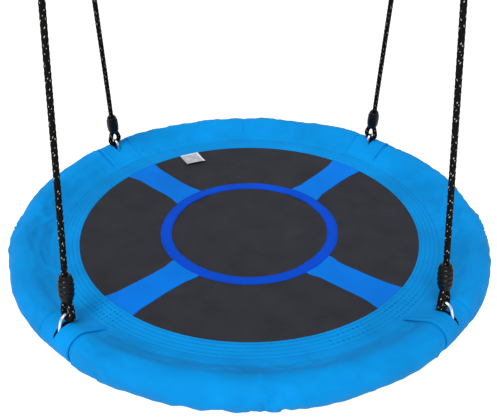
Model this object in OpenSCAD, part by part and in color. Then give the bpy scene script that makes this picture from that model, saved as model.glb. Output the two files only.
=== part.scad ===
// Saucer nest swing: a padded tube ring with a sewn cover, a mesh floor with four straps,
// and four braided ropes that end in a ring and a spring hook.
// The origin is level with the bearing points of the hooks, in the middle of the four.

/* [Seat] */
// Outside diameter of the padded ring
seat_d = 1000; // [900:10:1200]
// Radius of the padded ring's round section, cover included
pad_r = 29; // [27:0.5:32]
// Outside diameter of the steel tube
tube_d = 32; // [28:1:32]
// Wall of the steel tube
tube_wall = 1.5; // [1.2:0.1:2]
// Thickness of the cover fabric
cover_t = 1.6; // [1:0.1:2]
// Radius where the cover's flat band ends and the open mesh begins
band_in_r = 363; // [330:1:380]
// How far the mesh floor sags in the middle
dish = 12; // [5:1:25]

/* [Straps and trim] */
// Width of a strap where it meets the centre trim
strap_in_w = 66; // [50:1:80]
// Width of a strap where it wraps the ring
strap_out_w = 80; // [66:1:110]
// Outside radius of the round centre trim
trim_out_r = 193; // [150:1:220]
// Width of the round centre trim
trim_w = 24; // [15:1:35]
// Length of the slot through which a link comes out
slot_len = 58; // [52:1:62]
// Width of that slot
slot_w = 14; // [12:1:18]

/* [Ropes] */
// Diameter of the braided rope
rope_d = 11; // [10:0.5:11]
// Free rope between the two ferrules
rope_free = 460; // [400:10:1200]
// Inward lean of a rope per unit of its height, along X
lean_x = 0.03; // [0:0.005:0.05]
// Inward lean of a rope per unit of its height, along Y
lean_y = 0.25; // [0:0.01:0.3]
// Length of a moulded ferrule
ferrule_len = 47; // [40:1:60]
// Largest radius of a ferrule, over its ribs
ferrule_r = 14.2; // [13.8:0.1:16]

/* [Steel fittings] */
// Wire diameter of the links and the rings
wire_d = 6; // [5:0.5:6]
// Centreline radius of a ring
ring_r = 16; // [15:0.5:20]
// Wire diameter of a spring hook
hook_wire_d = 8; // [7:0.5:8]
// Centreline radius of a hook's two bows
hook_bow_r = 13; // [12:0.5:15]
// Distance between the centres of a hook's two bows
hook_straight = 46; // [44:1:60]

/* [Hidden] */
$fn = 64;

// The four corners, front left first, as signs of X and Y
FL = [-1, -1];
FR = [1, -1];
BL = [-1, 1];
BR = [1, 1];
CORNERS = [FL, FR, BL, BR];

// Colours
STEEL = [0.78, 0.79, 0.8];
COVER_BLUE = [0.05, 0.56, 0.9];
STRAP_BLUE = [0.02, 0.48, 0.92];
TRIM_BLUE = [0.02, 0.33, 0.85];
MESH_GREY = [0.19, 0.19, 0.21];
BLACK = [0.07, 0.07, 0.07];
FOAM_GREY = [0.45, 0.45, 0.47];

// Ring section
tube_r = tube_d / 2;
pitch_r = seat_d / 2 - pad_r;
foam_gap = 0.3;
foam_r = pad_r - cover_t - 0.4;
// Angle round the section where the cover leaves the foam and runs to the flat band
leave_a = 130;
arc_steps = 18;
// Where the sleeves end and the flat band begins
sleeve_in_r = band_in_r + 57;
band_out_r = sleeve_in_r - 0.5;
layer_gap = 0.3;
mesh_t = 1.2;
mesh_top = -0.2;
mesh_edge_r = band_in_r + 42;
lower_band_top = mesh_top - mesh_t - 0.2;
floor_steps = 6;

// Label
tag_a = 113;
tag_len = 54;
tag_w = 50;
tag_t = 0.9;
tag_gap = 0.5;

// Tube joints
tube_gap_a = 0.05;
spigot_a = 5.5;
spigot_play = 0.2;
spigot_r = tube_r - tube_wall - spigot_play;
bolt_a = 2.8;
bolt_d = 6;
bolt_hole_d = 6.4;
bolt_head_w = 11.5;
bolt_head_h = 4;
nut_h = 5;
// Half the gap between two sleeves or two foam lengths, where a link passes
link_gap_a = 1.15;

// Links: a pear shape round the tube, leaning towards the rope
link_lean = 11;
wire_r = wire_d / 2;
link_low_r = tube_r + wire_r + 1.5;
link_top_r = 15;
link_top = 50;
link_rise = link_top - link_top_r;
link_flare = asin((link_low_r - link_top_r) / link_rise);
link_steps = 9;
corner_a = 45;

// Rope frame: along the rope from the centre of the link's upper wire
tilt = atan(norm([lean_x, lean_y]));
lean_a = atan2(-lean_y, -lean_x);
rope_r = rope_d / 2;
eye_len = 25;
eye_r = 13.2;
eye_play = 2.9;
eye_drop = wire_r + eye_play + rope_r;
strand_gap = 5.7;
span = 2 * (eye_len + ferrule_len) + rope_free;
ring_w = span + ring_r;
hook_wire_r = hook_wire_d / 2;
wire_play = 0.5;
hook_low_w = ring_w + ring_r - wire_r - hook_wire_r - wire_play + hook_bow_r;
hook_high_w = hook_low_w + hook_straight;
bearing_w = hook_high_w + hook_bow_r - hook_wire_r;

// Level of the tube's centre below the hooks' bearing points
link_top_z = link_top * cos(link_lean);
link_top_r_out = pitch_r - link_top * sin(link_lean);
seat_z = -(link_top_z + bearing_w * cos(tilt));
// The right and rear ropes hang this far out, so that they clear their links as the seat swings
slack_x = 0.7;
slack_y = 2.85;

// Hook gate, measured along the rope
gate_r = 3.6;
pin_r = 1.5;
pin_play = 0.1;
pin_w = hook_low_w + 8.5;
ear_top_w = pin_w + 4;
gate_low_w = ear_top_w + 1.6;
gate_high_w = hook_high_w - 5.3;
nose_low_w = gate_high_w + 0.6;

// Half of a rope's route: [across, along], from the tail in the ferrule round the eye
HALF_ROUTE = concat(
  [[strand_gap, eye_len + 11], [strand_gap, eye_len]],
  [for (a = [20:-27.5:-200]) [eye_r * cos(a), eye_r * (1 + sin(a)) - eye_drop]],
  [[-strand_gap, eye_len], [-2.5, eye_len + 21], [0, eye_len + ferrule_len]]
);
rope_sides = 8;

function tangent_r(r, z) = pitch_r + r * cos(leave_a) + (r * sin(leave_a) - z) * tan(leave_a);
function section_point(r, a) = [pitch_r + r * cos(a), r * sin(a)];
function mesh_z(r) = mesh_top - dish * (1 - pow(min(r, band_in_r) / band_in_r, 2));
function unit(v) = v / norm(v);

// ---- Placing ----

module at_seat() {
  translate([0, 0, seat_z]) children();
}

// Draws for the back right corner and mirrors it to the corner asked for
module at_corner(c) {
  mirror([c[0] < 0 ? 1 : 0, 0, 0])
    mirror([0, c[1] < 0 ? 1 : 0, 0])
      children();
}

// X points outwards from the seat's centre, Y along the ring, Z along the link
module link_frame() {
  at_seat()
    rotate([0, 0, corner_a])
      translate([pitch_r, 0, 0])
        rotate([0, -link_lean, 0])
          children();
}

// The same, with Z along the rope and the link's upper wire at its origin
module rope_frame(c) {
  shift = [c[0] > 0 ? slack_x : 0, c[1] > 0 ? slack_y : 0, 0];
  translate(shift)
    at_corner(c)
      at_seat()
        rotate([0, 0, corner_a])
          translate([link_top_r_out, 0, link_top_z])
            rotate([0, 0, -corner_a])
              rotate([0, tilt, lean_a])
                rotate([0, 0, corner_a - lean_a])
                  children();
}

// Turns a flat drawing in X and Y into one in X and Z
module upright() {
  rotate([90, 0, 0]) children();
}

module ring_sweep(from, to) {
  rotate([0, 0, from]) rotate_extrude(angle = to - from, $fn = 128) children();
}

// ---- Tube and foam ----

module annulus(outer, inner) {
  difference() {
    circle(r = outer);
    circle(r = inner);
  }
}

module bolt_hole(a) {
  rotate([0, 0, a])
    translate([pitch_r, 0, 0])
      cylinder(d = bolt_hole_d, h = 2 * tube_d, center = true);
}

// A quarter of the ring from angle 0 to 90, with its spigot past 90
module tube_quarter(turn) {
  color(STEEL) at_seat() rotate([0, 0, turn]) difference() {
    union() {
      ring_sweep(tube_gap_a, 90 - tube_gap_a)
        translate([pitch_r, 0]) annulus(tube_r, tube_r - tube_wall);
      ring_sweep(88, 89.8)
        translate([pitch_r, 0]) annulus(tube_r - tube_wall / 2, spigot_r - tube_wall / 2);
      ring_sweep(87, 90 + spigot_a)
        translate([pitch_r, 0]) annulus(spigot_r, spigot_r - tube_wall);
    }
    bolt_hole(bolt_a);
    bolt_hole(90 + bolt_a);
  }
}

module at_bolts() {
  for (turn = [0:90:270])
    at_seat() rotate([0, 0, turn + bolt_a]) translate([pitch_r, 0, 0]) children();
}

module tube_bolts() {
  color(STEEL) at_bolts() {
    translate([0, 0, tube_r + 0.05]) cylinder(d = bolt_head_w, h = bolt_head_h, $fn = 6);
    translate([0, 0, -tube_r - nut_h - 2]) cylinder(d = bolt_d, h = tube_d + nut_h + 2.1);
  }
}

module tube_nuts() {
  color(STEEL) at_bolts() translate([0, 0, -tube_r - nut_h - 0.05]) difference() {
    cylinder(d = bolt_head_w, h = nut_h, $fn = 6);
    translate([0, 0, -1]) cylinder(d = bolt_d + 0.1, h = nut_h + 2);
  }
}

// A foam length between two links, with a hole for the bolt in its middle
module foam_length(turn) {
  color(FOAM_GREY) at_seat() rotate([0, 0, turn]) difference() {
    ring_sweep(-corner_a + link_gap_a, corner_a - link_gap_a)
      translate([pitch_r, 0]) annulus(foam_r, tube_r + foam_gap);
    rotate([0, 0, bolt_a])
      translate([pitch_r, 0, 0]) cylinder(d = bolt_head_w + 3, h = 4 * pad_r, center = true);
  }
}

// ---- Sewn cover ----

function arc_points(r, from, to) =
  [for (i = [0:arc_steps]) section_point(r, from + (to - from) * i / arc_steps)];

// A sleeve's skin: from the band's upper level round the pad and back in to its lower level
module sleeve_section() {
  inner = pad_r - cover_t;
  low = -lower_band_top;
  polygon(concat(
    [[sleeve_in_r, 0], [sleeve_in_r, cover_t], [tangent_r(pad_r, cover_t), cover_t]],
    arc_points(pad_r, leave_a, -leave_a),
    [[tangent_r(pad_r, low + cover_t), -low - cover_t], [sleeve_in_r, -low - cover_t]],
    [[sleeve_in_r, -low], [tangent_r(inner, low), -low]],
    arc_points(inner, -leave_a, leave_a),
    [[tangent_r(inner, 0), 0]]
  ));
}

// A sleeve covers the foam between two links
module sleeve(turn) {
  color(COVER_BLUE) at_seat() rotate([0, 0, turn])
    ring_sweep(-corner_a + link_gap_a, corner_a - link_gap_a) sleeve_section();
}

// The flat band that holds the mesh's edge between two layers
module band(level) {
  color(COVER_BLUE) at_seat() translate([0, 0, level]) rotate_extrude($fn = 128)
    translate([band_in_r, 0]) square([band_out_r - band_in_r, cover_t]);
}

module link_slots(w) {
  for (c = CORNERS)
    at_corner(c)
      rotate([0, 0, corner_a])
        translate([pitch_r - 30, -w / 2, 2]) cube([slot_len, w, 2 * pad_r]);
}

// ---- Mesh floor, trim and straps ----

function radii(from, to) = [for (i = [0:floor_steps]) from + (to - from) * i / floor_steps];

// Points on the mesh floor's upper face, raised by lift
function floor_points(lift, from, to) = [for (r = radii(from, to)) [r, mesh_z(r) + lift]];

// A layer of thickness t on the mesh floor
module floor_layer(lift, t, from, to) {
  polygon(concat(floor_points(lift, from, to), floor_points(lift + t, to, from)));
}

module mesh_panel() {
  color(MESH_GREY) at_seat() rotate_extrude($fn = 128) {
    floor_layer(-mesh_t, mesh_t, 0, band_in_r);
    translate([band_in_r, mesh_top - mesh_t]) square([mesh_edge_r - band_in_r, mesh_t]);
  }
}

module centre_trim() {
  color(TRIM_BLUE) at_seat() rotate_extrude($fn = 128)
    floor_layer(layer_gap, cover_t, trim_out_r - trim_w, trim_out_r);
}

module strap_outline() {
  inner = trim_out_r + 1;
  outer = pitch_r + 3 * pad_r;
  wrap_from = pitch_r - pad_r;
  polygon([
    [inner, -strap_in_w / 2], [wrap_from, -strap_out_w / 2], [outer, -strap_out_w / 2],
    [outer, strap_out_w / 2], [wrap_from, strap_out_w / 2], [inner, strap_in_w / 2]
  ]);
}

// From the ring's underside over the pad, down to the band and along the mesh to the trim
module strap_section() {
  r = pad_r + layer_gap + cover_t;
  low = cover_t + layer_gap;
  high = low + cover_t;
  inner = trim_out_r + 1;
  step_r = band_in_r - 1;
  polygon(concat(
    arc_points(r, -leave_a, leave_a),
    [[tangent_r(r, high), high], [step_r - cover_t, high]],
    floor_points(layer_gap + cover_t, step_r - 2 * cover_t, inner),
    floor_points(layer_gap, inner, step_r),
    [[step_r, low], [tangent_r(r - cover_t, low), low]],
    arc_points(r - cover_t, leave_a, -leave_a)
  ));
}

module strap(c) {
  color(STRAP_BLUE) at_seat() difference() {
    at_corner(c) intersection() {
      ring_sweep(0, 90) strap_section();
      rotate([0, 0, corner_a])
        translate([0, 0, -2 * pad_r]) linear_extrude(4 * pad_r) strap_outline();
    }
    link_slots(slot_w);
  }
}

// A folded woven label, sewn under the band's inner edge at the back
module label_tag() {
  color(BLACK) at_seat()
    rotate([0, 0, tag_a])
      translate([band_in_r - tag_gap - tag_len, -tag_w / 2, mesh_top + layer_gap])
        cube([tag_len, tag_w, tag_t]);
}

// ---- Links ----

function arc_line(r, from, to, rise) =
  [for (i = [0:link_steps])
    let (a = from + (to - from) * i / link_steps)
    [r * cos(a), r * sin(a) + rise]];

// The link's centreline in X and Z: round the tube below, round the rope's eye above
link_line = concat(
  arc_line(link_low_r, 180 - link_flare, 360 + link_flare, 0),
  arc_line(link_top_r, link_flare, 180 - link_flare, link_rise)
);

module link(c) {
  color(STEEL) at_corner(c) link_frame() closed_wire(link_line, wire_r);
}

// ---- Ropes and ferrules ----

route = concat(
  HALF_ROUTE,
  [for (i = [len(HALF_ROUTE) - 1:-1:0]) [-HALF_ROUTE[i][0], span - HALF_ROUTE[i][1]]]
);

// Points round the path at its point i, square to the mean of its two neighbours' directions
function ring_points(path, i, before, after, r, sides) =
  let (
    way = unit(unit(path[after] - path[i]) + unit(path[i] - path[before])),
    side = [-way[1], way[0]]
  )
  [for (k = [0:sides - 1])
    let (a = 360 * k / sides)
    [r * cos(a), path[i][0] + r * sin(a) * side[0], path[i][1] + r * sin(a) * side[1]]];

// The four-sided faces between ring i and ring j
function side_faces(i, j, sides) =
  [for (k = [0:sides - 1]) let (n = (k + 1) % sides)
    [i * sides + k, i * sides + n, j * sides + n, j * sides + k]];

// A round wire along a path that closes on itself, in X and Z
module closed_wire(path, r) {
  sides = 12;
  n = len(path);
  rotate([0, 0, -90]) polyhedron(
    points = [for (i = [0:n - 1]) each ring_points(path, i, (i + n - 1) % n, (i + 1) % n, r, sides)],
    faces = [for (i = [0:n - 1]) each side_faces(i, (i + 1) % n, sides)]
  );
}

module rope(c) {
  n = rope_sides;
  last = len(route) - 1;
  // The route runs on straight by a millimetre at each end, so that the end rings are square to it
  start = 2 * route[0] - route[1];
  end = 2 * route[last] - route[last - 1];
  path = concat([start], route, [end]);
  color(BLACK) rope_frame(c) polyhedron(
    points = [for (i = [1:last + 1]) each ring_points(path, i, i - 1, i + 1, rope_r, n)],
    faces = concat(
      [for (i = [0:last - 1]) each side_faces(i, i + 1, n)],
      [[for (k = [n - 1:-1:0]) k], [for (k = [0:n - 1]) last * n + k]]
    )
  );
}

// A ribbed barrel from 0 up, with one passage for the rope above and two side by side below
module ferrule() {
  rib = 0.8;
  rib_h = 4;
  ribs = 4;
  sag = 1.4;
  half = ferrule_len / 2;
  core_r = ferrule_r - rib;
  arc_r = (half * half + sag * sag) / (2 * sag);
  bore_r = rope_r - 0.3;
  difference() {
    union() {
      rotate_extrude() intersection() {
        square([ferrule_r, ferrule_len]);
        translate([core_r - arc_r, half]) circle(r = arc_r, $fn = 256);
      }
      for (i = [0:ribs - 1])
        translate([0, 0, half + (i - (ribs - 1) / 2) * 9 - rib_h / 2])
          cylinder(r = ferrule_r - (abs(i - 1.5) > 1 ? 0.4 : 0), h = rib_h);
    }
    translate([0, 0, 12]) cylinder(r = bore_r, h = ferrule_len);
    for (y = [-strand_gap, strand_gap])
      translate([0, y, -1]) cylinder(r = bore_r, h = 14);
    translate([-bore_r, -strand_gap, -1]) cube([2 * bore_r, 2 * strand_gap, 14]);
  }
}

module lower_ferrule(c) {
  color(BLACK) rope_frame(c) translate([0, 0, eye_len]) ferrule();
}

module upper_ferrule(c) {
  color(BLACK) rope_frame(c) translate([0, 0, span - eye_len]) rotate([180, 0, 0]) ferrule();
}

// ---- Rings, hooks and gates ----

module ring(c) {
  color(STEEL) rope_frame(c) translate([0, 0, ring_w]) upright()
    rotate_extrude() translate([ring_r, 0]) circle(r = wire_r, $fn = 32);
}

// Half a torus in the Y and Z plane, above or below its centre
module bow(w, up) {
  translate([0, 0, w]) rotate([90, 0, 90]) rotate([0, 0, up ? 0 : 180])
    rotate_extrude(angle = 180) translate([hook_bow_r, 0]) circle(r = hook_wire_r, $fn = 32);
}

module post(y, from, to, r) {
  translate([0, y, from]) cylinder(r = r, h = to - from, $fn = 32);
}

module hook(c) {
  slot_half = 2.2;
  color(STEEL) rope_frame(c) difference() {
    union() {
      bow(hook_low_w, false);
      bow(hook_high_w, true);
      post(-hook_bow_r, hook_low_w, hook_high_w, hook_wire_r);
      post(hook_bow_r, hook_low_w, ear_top_w, hook_wire_r);
      post(hook_bow_r, nose_low_w, hook_high_w, hook_wire_r);
    }
    // Fork for the gate's heel
    translate([-slot_half, hook_bow_r - 6, pin_w - 4.5]) cube([2 * slot_half, 12, 20]);
    // Pin hole through the fork
    translate([-6, hook_bow_r, pin_w]) rotate([0, 90, 0]) cylinder(r = pin_r + pin_play, h = 12);
    // Notch in the nose for the gate's tip, open towards the inside
    translate([-2, hook_bow_r - 6, nose_low_w - 1]) cube([4, 8.6, 5]);
  }
}

module gate(c) {
  heel_half = 1.9;
  tip_half = 1.5;
  color(STEEL) rope_frame(c) difference() {
    union() {
      post(hook_bow_r, gate_low_w, gate_high_w, gate_r);
      intersection() {
        post(hook_bow_r, pin_w, gate_low_w + 1, gate_r);
        translate([-heel_half, hook_bow_r - 5, pin_w]) cube([2 * heel_half, 10, 12]);
      }
      translate([-heel_half, hook_bow_r, pin_w]) rotate([0, 90, 0]) cylinder(r = gate_r, h = 2 * heel_half);
      translate([-tip_half, hook_bow_r - 3, gate_high_w - 1]) cube([2 * tip_half, 5.2, 4.2]);
    }
    translate([-6, hook_bow_r, pin_w]) rotate([0, 90, 0]) cylinder(r = pin_r + pin_play, h = 12);
  }
}

module gate_pins() {
  color(STEEL) for (c = CORNERS)
    rope_frame(c) translate([-hook_wire_r, hook_bow_r, pin_w]) rotate([0, 90, 0])
      cylinder(r = pin_r, h = 2 * hook_wire_r);
}

tube_quarter(0);  // tube_back_right
tube_quarter(90);  // tube_back_left
tube_quarter(180);  // tube_front_left
tube_quarter(270);  // tube_front_right
tube_bolts();
tube_nuts();
foam_length(0);  // foam_right
foam_length(90);  // foam_back
foam_length(180);  // foam_left
foam_length(270);  // foam_front
sleeve(0);  // sleeve_right
sleeve(90);  // sleeve_back
sleeve(180);  // sleeve_left
sleeve(270);  // sleeve_front
band(0);  // band_top
band(lower_band_top - cover_t);  // band_bottom
mesh_panel();
centre_trim();
label_tag();
strap(FL);  // strap_fl
strap(FR);  // strap_fr
strap(BL);  // strap_bl
strap(BR);  // strap_br
link(FL);  // link_fl
link(FR);  // link_fr
link(BL);  // link_bl
link(BR);  // link_br
rope(FL);  // rope_fl
rope(FR);  // rope_fr
rope(BL);  // rope_bl
rope(BR);  // rope_br
lower_ferrule(FL);  // lower_ferrule_fl
lower_ferrule(FR);  // lower_ferrule_fr
lower_ferrule(BL);  // lower_ferrule_bl
lower_ferrule(BR);  // lower_ferrule_br
upper_ferrule(FL);  // upper_ferrule_fl
upper_ferrule(FR);  // upper_ferrule_fr
upper_ferrule(BL);  // upper_ferrule_bl
upper_ferrule(BR);  // upper_ferrule_br
ring(FL);  // ring_fl
ring(FR);  // ring_fr
ring(BL);  // ring_bl
ring(BR);  // ring_br
hook(FL);  // hook_fl
hook(FR);  // hook_fr
hook(BL);  // hook_bl
hook(BR);  // hook_br
gate(FL);  // gate_fl
gate(FR);  // gate_fr
gate(BL);  // gate_bl
gate(BR);  // gate_br
gate_pins();
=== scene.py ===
"""The looks of a saucer nest swing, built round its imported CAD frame. Units are metres."""

import math

import bpy
import numpy as np
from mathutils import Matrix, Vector, noise
from mathutils.bvhtree import BVHTree


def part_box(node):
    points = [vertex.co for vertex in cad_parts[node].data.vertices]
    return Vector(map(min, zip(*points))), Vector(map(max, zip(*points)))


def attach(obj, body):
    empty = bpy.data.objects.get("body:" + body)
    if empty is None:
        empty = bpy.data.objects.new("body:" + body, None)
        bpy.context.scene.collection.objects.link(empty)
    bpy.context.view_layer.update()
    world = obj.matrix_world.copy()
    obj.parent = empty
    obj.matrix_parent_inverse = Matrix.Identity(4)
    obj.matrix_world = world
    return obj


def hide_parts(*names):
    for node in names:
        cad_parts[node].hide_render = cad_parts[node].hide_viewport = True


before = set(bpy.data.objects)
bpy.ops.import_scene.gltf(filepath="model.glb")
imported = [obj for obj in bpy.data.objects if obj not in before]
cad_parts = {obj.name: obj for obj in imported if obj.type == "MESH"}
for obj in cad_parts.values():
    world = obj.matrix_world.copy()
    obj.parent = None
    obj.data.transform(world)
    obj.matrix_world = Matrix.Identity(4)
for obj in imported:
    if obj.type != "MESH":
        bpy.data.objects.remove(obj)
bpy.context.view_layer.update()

MM = 0.001
CORNERS = {"fl": (-1, -1), "fr": (1, -1), "bl": (-1, 1), "br": (1, 1)}
CORNER_A = math.radians(45)

# ---- Sizes, read from the frame or repeated from the part's own source ----

tube_low, tube_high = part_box("tube_back_right")
SEAT_Z = (tube_low.z + tube_high.z) / 2
TUBE_R = (tube_high.z - tube_low.z) / 2
SEAT_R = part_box("sleeve_right")[1].x
PAD_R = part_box("sleeve_right")[1].z - SEAT_Z
PITCH_R = SEAT_R - PAD_R
BAND_IN_R = 363 * MM
BAND_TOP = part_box("band_top")[1].z - SEAT_Z
BAND_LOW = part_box("band_bottom")[0].z - SEAT_Z
MESH_TOP = -0.2 * MM
MESH_T = 1.2 * MM
MESH_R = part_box("mesh_panel")[1].x
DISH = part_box("mesh_panel")[1].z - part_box("mesh_panel")[0].z - MESH_T
TRIM_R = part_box("centre_trim")[1].x
TRIM_W = 24 * MM
STRAP_W = 80 * MM
STRAP_IN_W = 66 * MM
WIRE_R = 3 * MM

# The links
LINK_LEAN = math.radians(11)
LINK_LOW_R = TUBE_R + WIRE_R + 1.5 * MM
LINK_TOP_R = 15 * MM
LINK_TOP = 50 * MM

# The ropes. LEAN is how far they run inwards, towards x and y = 0, for each metre up.
ROPE_R = 5.5 * MM
LEAN = Vector((-0.03, -0.25))
EYE_LEN = 25 * MM
EYE_R = 13.2 * MM
EYE_DROP = WIRE_R + 2.9 * MM + ROPE_R
STRAND_GAP = 5.7 * MM
FERRULE_LEN = 47 * MM
FERRULE_R = 14.2 * MM
ROPE_FREE = 460 * MM
SPAN = 2 * (EYE_LEN + FERRULE_LEN) + ROPE_FREE
# The right ropes hang this far out in x and the back ones in y, to clear their links in motion
SLACK = Vector((0.7 * MM, 2.85 * MM))


# ---- Camera ----

def make_camera():
    target = Vector((2.1 * MM, -0.2 * MM, SEAT_Z))
    azimuth, elevation = math.radians(-2.627), math.radians(34.252)
    distance = 1.4539
    back = Vector((
        math.sin(azimuth) * math.cos(elevation),
        -math.cos(azimuth) * math.cos(elevation),
        math.sin(elevation),
    ))
    data = bpy.data.cameras.new("camera")
    data.lens = 48.231
    data.sensor_width = 36
    data.shift_x = -0.0037
    data.shift_y = 0.0336
    data.clip_start = 0.02
    camera = bpy.data.objects.new("camera", data)
    camera.location = target + back * distance
    camera.rotation_euler = (-back).to_track_quat("-Z", "Y").to_euler()
    bpy.context.scene.collection.objects.link(camera)
    bpy.context.scene.camera = camera


# ---- Making meshes ----

def smooth(t):
    t = np.clip(t, 0, 1)
    return t * t * (3 - 2 * t)


def bump_at(x, centre, width):
    """1 at centre, falling to nearly 0 a width away."""
    return np.exp(-(((x - centre) / width) ** 2))


def ripple(a, b, seed=0.0):
    """Smooth noise from -1 to 1 over two arrays of coordinates."""
    a, b = np.broadcast_arrays(a, b)
    values = [noise.noise(Vector((x, y, seed))) for x, y in zip(a.ravel(), b.ravel())]
    return np.array(values).reshape(a.shape)


def compacted(points, faces):
    used, faces = np.unique(faces, return_inverse=True)
    return points[used], faces


def grid_piece(name, points, us, vs, close_u=False, close_v=False, hole=None, caps=()):
    """A mesh through a grid of points. us and vs give its UV map, in metres, along each way.
    hole marks squares to leave out, and caps names the columns that a flat face closes."""
    nu, nv = points.shape[:2]
    i, j = np.meshgrid(
        np.arange(nu if close_u else nu - 1), np.arange(nv if close_v else nv - 1), indexing="ij"
    )
    i, j = i.ravel(), j.ravel()
    if hole is not None:
        kept = ~hole[i, j]
        i, j = i[kept], j[kept]
    corners = [(i, j), (i + 1, j), (i + 1, j + 1), (i, j + 1)]
    faces = np.stack([(ci % nu) * nv + cj % nv for ci, cj in corners], 1)
    uv = np.stack([np.stack([us[ci], vs[cj]], -1) for ci, cj in corners], 1)
    flat, inverse = compacted(points.reshape(-1, 3), faces)
    faces = inverse.reshape(-1, 4).tolist()
    loops = uv.reshape(-1, 2).tolist()
    for column in caps:
        ring = [k * nv + column % nv for k in range(nu)]
        faces.append(ring if column else ring[::-1])
        loops += [[us[k], vs[column]] for k in (range(nu) if column else reversed(range(nu)))]
    mesh = bpy.data.meshes.new(name)
    mesh.from_pydata(flat.tolist(), [], faces)
    layer = mesh.uv_layers.new(name="UVMap")
    layer.data.foreach_set("uv", np.array(loops, np.float32).ravel())
    mesh.polygons.foreach_set("use_smooth", [True] * len(mesh.polygons))
    piece = bpy.data.objects.new(name, mesh)
    bpy.context.scene.collection.objects.link(piece)
    return piece


def apply_modifier(piece, kind, **settings):
    modifier = piece.modifiers.new(kind.lower(), kind)
    for key, value in settings.items():
        setattr(modifier, key, value)
    with bpy.context.temp_override(object=piece, active_object=piece, selected_objects=[piece]):
        bpy.ops.object.modifier_apply(modifier=modifier.name)


def finish_piece(piece, material, body, replaces=()):
    piece.data.materials.clear()
    piece.data.materials.append(material)
    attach(piece, body)
    if replaces:
        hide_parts(*replaces)
    return piece


def resampled(points, step):
    """Points about one step apart along a line, whose ends stay."""
    points = np.asarray(points, float)
    along = np.concatenate([[0], np.cumsum(np.linalg.norm(np.diff(points, axis=0), axis=1))])
    count = max(2, int(round(along[-1] / step)) + 1)
    at = np.linspace(0, along[-1], count)
    return np.stack([np.interp(at, along, points[:, k]) for k in range(points.shape[1])], 1)


def rounded_line(points, closed=False, passes=3):
    """Cuts a line's corners until it is smooth. The ends of an open line stay."""
    points = np.asarray(points, float)
    for _ in range(passes):
        after = np.roll(points, -1, axis=0)
        early, late = points * 0.75 + after * 0.25, points * 0.25 + after * 0.75
        cut = np.stack([early, late], 1).reshape(-1, points.shape[1])
        points = cut if closed else np.concatenate([points[:1], cut[1:-3], points[-1:]])
    return points


def tube_piece(name, line, side, radius, sides, closed=False):
    """A tube along a flat line. side is a unit vector square to the line's plane.
    radius is a number or a function of the angle round the tube and the length along it."""
    count = len(line)
    if closed:
        way = np.roll(line, -1, axis=0) - np.roll(line, 1, axis=0)
    else:
        way = np.gradient(line, axis=0)
    way /= np.linalg.norm(way, axis=1)[:, None]
    out = np.cross(way, side)
    steps = np.linalg.norm(np.diff(line, axis=0), axis=1)
    along = np.concatenate([[0], np.cumsum(steps)])
    angles = np.linspace(0, 2 * math.pi, sides, endpoint=False)
    angle, length = np.meshgrid(angles, along, indexing="ij")
    r = radius(angle, length) if callable(radius) else np.full(angle.shape, radius)
    points = line[None] + r[..., None] * (
        np.cos(angle)[..., None] * np.asarray(side) + np.sin(angle)[..., None] * out[None]
    )
    us = np.linspace(0, 2 * math.pi * ROPE_R, sides + 1)
    if closed:
        along = np.append(along, along[-1] + steps.mean())
        return grid_piece(name, points, us, along, close_u=True, close_v=True)
    return grid_piece(name, points, us, along, close_u=True, caps=(0, count - 1))


# ---- Frames of the links and the ropes ----

def turn_z(a):
    return np.array([[math.cos(a), -math.sin(a), 0], [math.sin(a), math.cos(a), 0], [0, 0, 1]])


def turn_y(a):
    return np.array([[math.cos(a), 0, math.sin(a)], [0, 1, 0], [-math.sin(a), 0, math.cos(a)]])


def link_place(corner):
    """Turn and origin of the frame whose X points outwards, Y along the ring and Z along the link."""
    mirror = np.diag([*CORNERS[corner], 1])
    turn = mirror @ turn_z(CORNER_A) @ turn_y(-LINK_LEAN)
    origin = mirror @ np.array([PITCH_R * math.cos(CORNER_A), PITCH_R * math.sin(CORNER_A), 0])
    return turn, origin + [0, 0, SEAT_Z]


def rope_place(corner):
    """Turn and origin of the frame whose Z runs up the rope from the link's upper wire."""
    mirror = np.diag([*CORNERS[corner], 1])
    tilt, lean_a = math.atan(LEAN.length), math.atan2(LEAN.y, LEAN.x)
    radius = PITCH_R - LINK_TOP * math.sin(LINK_LEAN)
    top = np.array([
        radius * math.cos(CORNER_A), radius * math.sin(CORNER_A), LINK_TOP * math.cos(LINK_LEAN)
    ])
    turn = mirror @ turn_z(lean_a) @ turn_y(tilt) @ turn_z(CORNER_A - lean_a)
    sx, sy = CORNERS[corner]
    shift = np.array([SLACK.x if sx > 0 else 0, SLACK.y if sy > 0 else 0, SEAT_Z])
    return turn, mirror @ top + shift


def placed(points, place):
    turn, origin = place
    return np.asarray(points, float) @ turn.T + origin


# ---- Materials ----

def new_material(name, colour, roughness, **sockets):
    material = bpy.data.materials.new(name)
    material.use_nodes = True
    shader = material.node_tree.nodes["Principled BSDF"]
    shader.inputs["Base Color"].default_value = (*colour, 1)
    shader.inputs["Roughness"].default_value = roughness
    for socket, value in sockets.items():
        shader.inputs[socket.replace("_", " ")].default_value = value
    return material, material.node_tree, shader


def node(tree, kind, inputs=None, **settings):
    made = tree.nodes.new(kind)
    for key, value in settings.items():
        setattr(made, key, value)
    for key, value in (inputs or {}).items():
        if isinstance(value, bpy.types.NodeSocket):
            tree.links.new(value, made.inputs[key])
        else:
            made.inputs[key].default_value = value
    return made


def surface_coordinates(tree):
    """The UV map, which is in metres along the surface."""
    return node(tree, "ShaderNodeUVMap", uv_map="UVMap").outputs["UV"]


def body_coordinates(tree):
    return node(tree, "ShaderNodeTexCoord").outputs["Object"]


def noise_at(tree, vector, scale, detail=3.0, roughness=0.5):
    inputs = {"Vector": vector, "Scale": scale, "Detail": detail, "Roughness": roughness}
    return node(tree, "ShaderNodeTexNoise", inputs).outputs["Fac"]


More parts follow.
